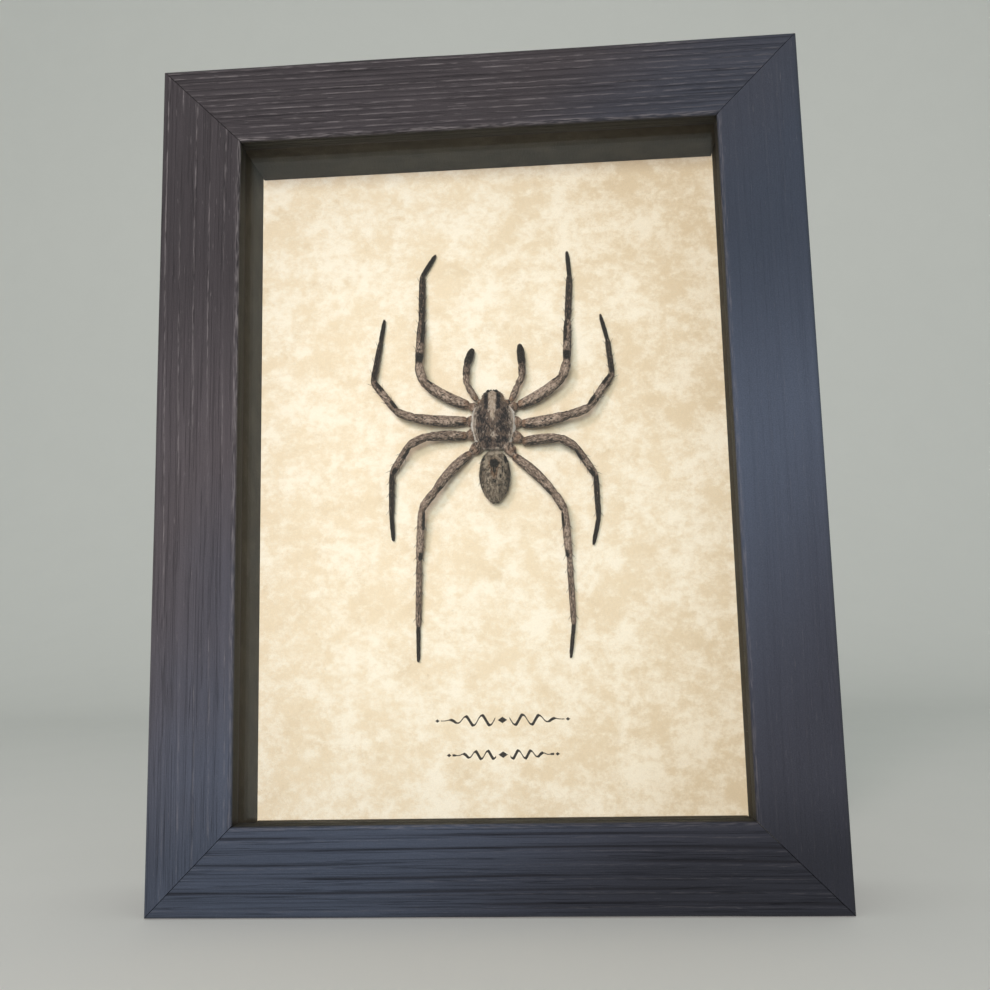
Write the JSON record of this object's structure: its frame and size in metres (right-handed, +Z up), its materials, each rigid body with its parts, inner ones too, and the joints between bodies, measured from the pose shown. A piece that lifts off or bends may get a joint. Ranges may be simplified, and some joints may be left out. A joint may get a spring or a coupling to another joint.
{
  "type": "framed wolf spider specimen",
  "caption": "Deep dark wooden box frame with a glazed front, holding a dried wolf spider spread on a mottled parchment card; stands on its bottom rail or hangs from its back.",
  "frame": {"origin": "middle of the frame's outline at its lowest face, half way through the depth with the hanger included", "axes": "+Z up the frame, the glazed front faces -Y, +X to the right of someone looking at the front"},
  "size_m": [0.165, 0.0402, 0.2144],
  "materials": {
    "stained_wood": "matt dark blue-black stain with brushed grain, worn edges",
    "clear_glass": "clear, polished",
    "dark_lining": "matt dark olive-grey board",
    "parchment_card": "cream mottled parchment card, matt",
    "hardboard": "brown pressed fibre board",
    "zinc_plate": "zinc-plated sheet",
    "brass_plate": "brass-plated steel",
    "carapace": "dark brown hairy cuticle with a pale middle stripe",
    "abdomen": "mottled grey-brown hair",
    "leg": "grey-tan hairy cuticle with dark bands, nearly black feet",
    "jaw": "glossy dark brown cuticle"
  },
  "bodies": {
    "root": {"rail_top": "stained_wood", "rail_bottom": "stained_wood", "rail_left": "stained_wood", "rail_right": "stained_wood", "glass": "clear_glass", "spacer_top": "dark_lining", "spacer_bottom": "dark_lining", "spacer_left": "dark_lining", "spacer_right": "dark_lining", "mount_card": "parchment_card", "backing_board": "hardboard", "retaining_tab_left_upper": "zinc_plate", "retaining_tab_left_lower": "zinc_plate", "retaining_tab_right_upper": "zinc_plate", "retaining_tab_right_lower": "zinc_plate", "retaining_tab_top": "zinc_plate", "retaining_tab_bottom": "zinc_plate", "hanger": "brass_plate", "hanger_nail_left": "brass_plate", "hanger_nail_right": "brass_plate", "cephalothorax": "carapace", "abdomen": "abdomen", "chelicera_left": "jaw", "chelicera_right": "jaw", "palp_left": "leg", "palp_right": "leg", "leg_left_1": "leg", "leg_left_2": "leg", "leg_left_3": "leg", "leg_left_4": "leg", "leg_right_1": "leg", "leg_right_2": "leg", "leg_right_3": "leg", "leg_right_4": "leg"}
  },
  "joints": []
}
